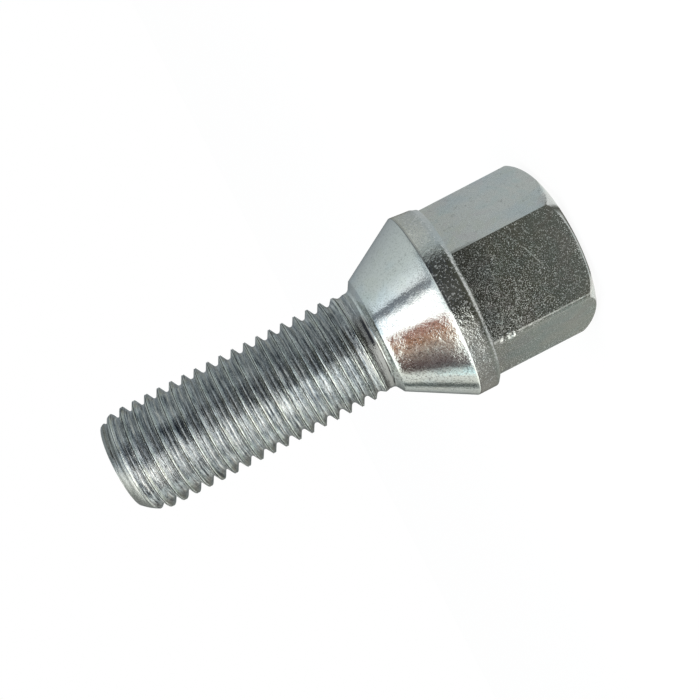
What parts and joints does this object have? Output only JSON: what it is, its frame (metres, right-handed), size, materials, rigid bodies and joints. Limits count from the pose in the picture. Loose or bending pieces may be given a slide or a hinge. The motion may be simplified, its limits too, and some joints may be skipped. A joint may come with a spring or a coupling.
{
  "type": "wheel bolt",
  "caption": "Wheel bolt with a hexagon head, round collar, tapered seat, plain neck and right-hand threaded shank, standing on its head.",
  "frame": {"origin": "centre of the head's flat end face, the face the bolt stands on", "axes": "+Z along the bolt's axis from the head to the tip, +X through a corner of the hexagon, +Y square to both"},
  "size_m": [0.0208, 0.0208, 0.0519],
  "materials": {
    "zinc_plate": "bright zinc plating over forged steel, lightly speckled and scuffed"
  },
  "bodies": {
    "root": {"wheel_bolt": "zinc_plate"}
  },
  "joints": []
}
